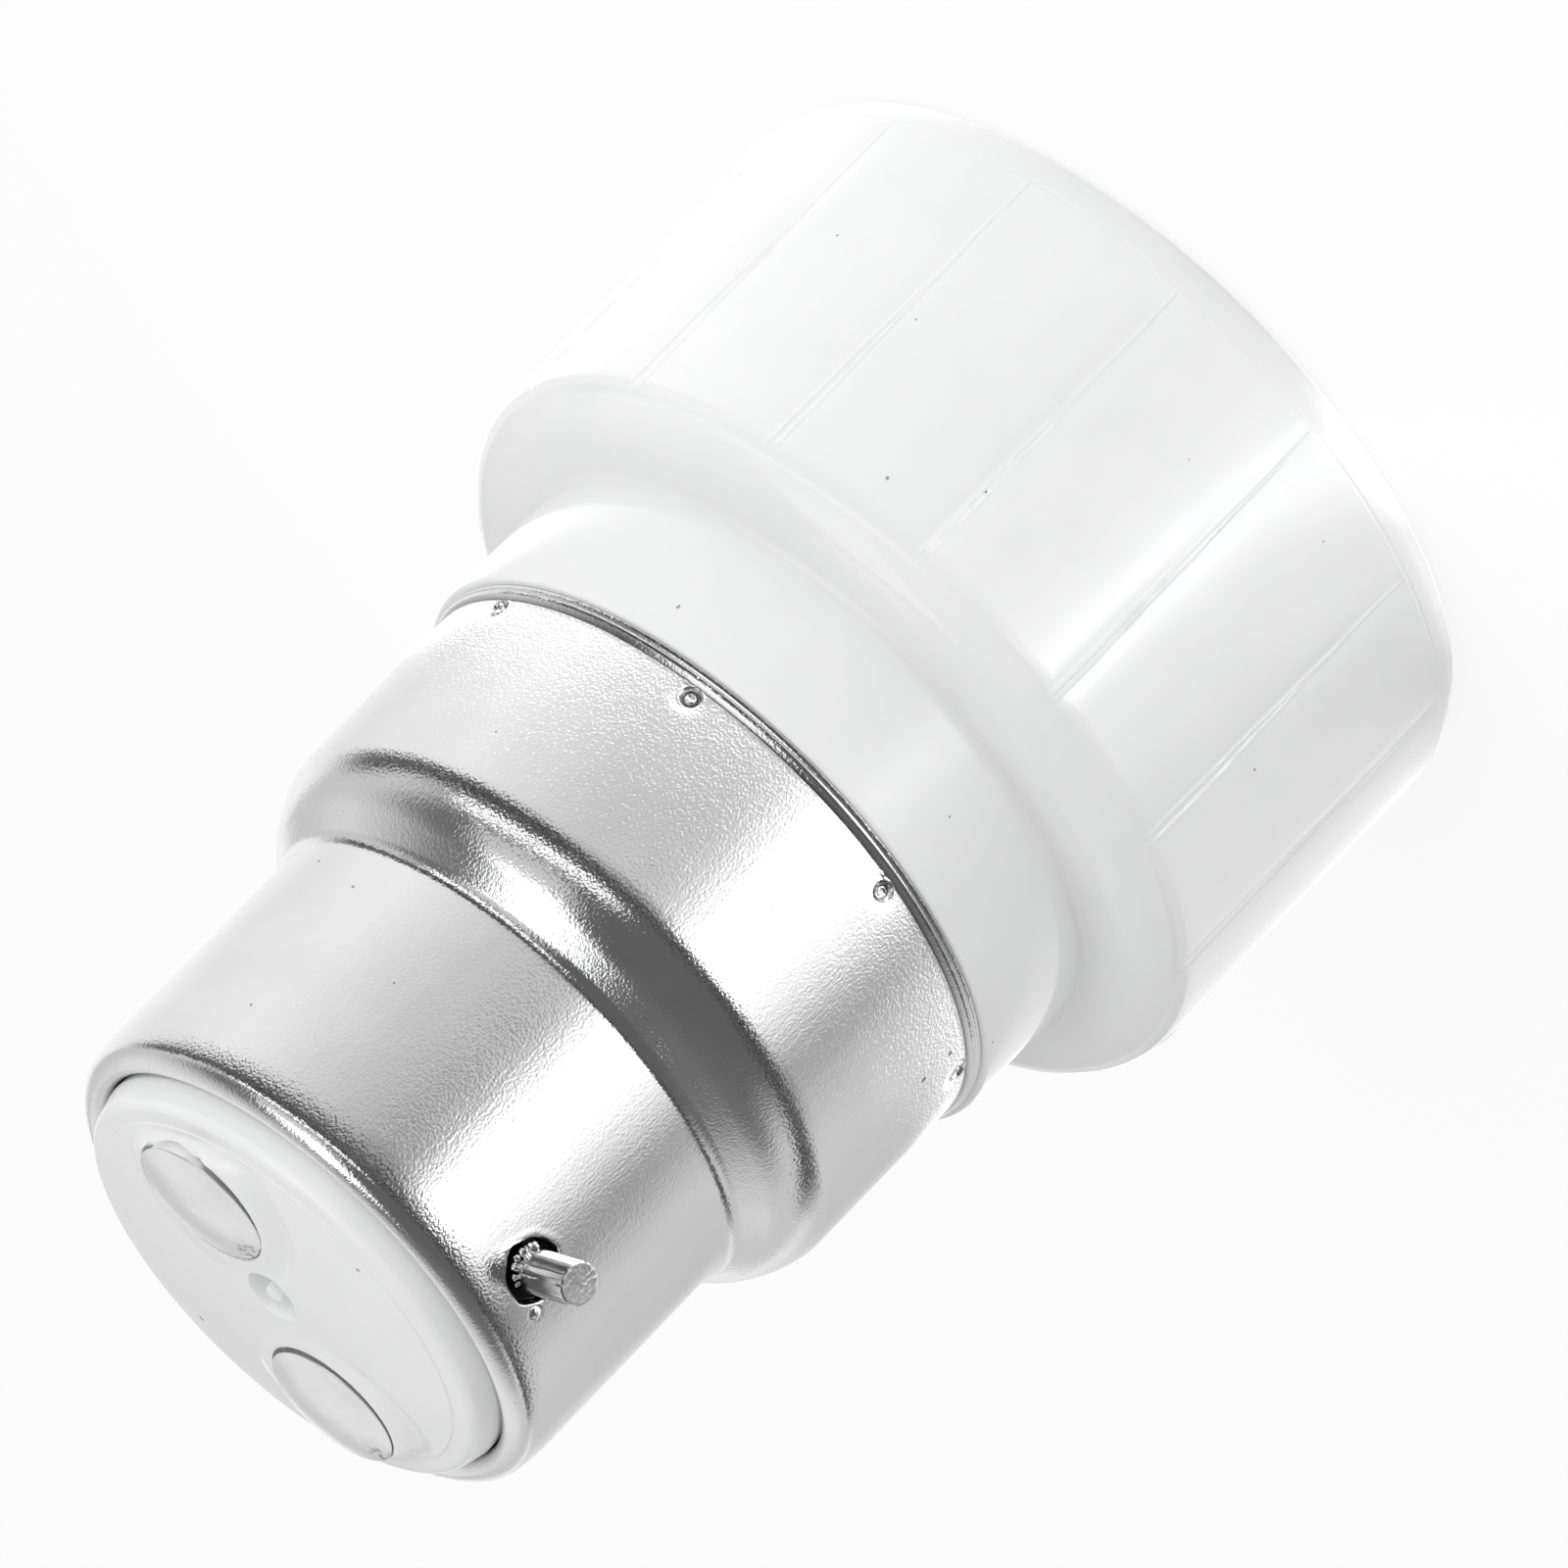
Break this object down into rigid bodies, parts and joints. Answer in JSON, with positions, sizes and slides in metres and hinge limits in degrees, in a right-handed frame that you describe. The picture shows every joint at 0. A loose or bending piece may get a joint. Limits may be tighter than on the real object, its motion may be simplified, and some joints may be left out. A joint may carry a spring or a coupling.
{
  "type": "lamp socket adapter",
  "caption": "Bayonet-cap lamp socket adapter: pressed metal cap with side pins and domed end contacts on a white grooved drum that holds a twist-lock lamp socket.",
  "frame": {"origin": "centre of the drum's flat rim, which stands on z = 0", "axes": "+Z along the adapter's axis, from the lamp socket to the cap's contacts; X through the bayonet pins; Y through the end contacts"},
  "size_m": [0.0348, 0.0348, 0.0497],
  "materials": {
    "white_moulding": "gloss white moulding",
    "white_plate": "gloss white moulding",
    "ceramic_insert": "matt unglazed steatite",
    "nickelled_sleeve": "satin nickel plate on brass sheet",
    "pin_metal": "nickelled, sheared tip",
    "contact_metal": "bright nickelled dome",
    "tag_brass": "tinned brass sheet",
    "solder": "dull solder",
    "copper_core": "tinned copper strand",
    "lead_cover": "soft silicone sleeve",
    "spring_bronze": "spring bronze",
    "rivet_brass": "plain brass",
    "screw_steel": "zinc plated"
  },
  "bodies": {
    "root": {"bayonet_pin_a": "pin_metal", "bayonet_pin_b": "pin_metal", "bayonet_shell": "nickelled_sleeve", "clip_rivets": "rivet_brass", "clip_solder_a": "solder", "clip_solder_b": "solder", "contact_a": "contact_metal", "contact_b": "contact_metal", "end_plate": "white_plate", "housing": "white_moulding", "insert_screws": "screw_steel", "lead_core_a": "copper_core", "lead_core_b": "copper_core", "lead_sleeve_a": "lead_cover", "lead_sleeve_b": "lead_cover", "socket_insert": "ceramic_insert", "solder_tag_a": "tag_brass", "solder_tag_b": "tag_brass", "spring_clip_a": "spring_bronze", "spring_clip_b": "spring_bronze", "tag_solder_a": "solder", "tag_solder_b": "solder"}
  },
  "joints": []
}
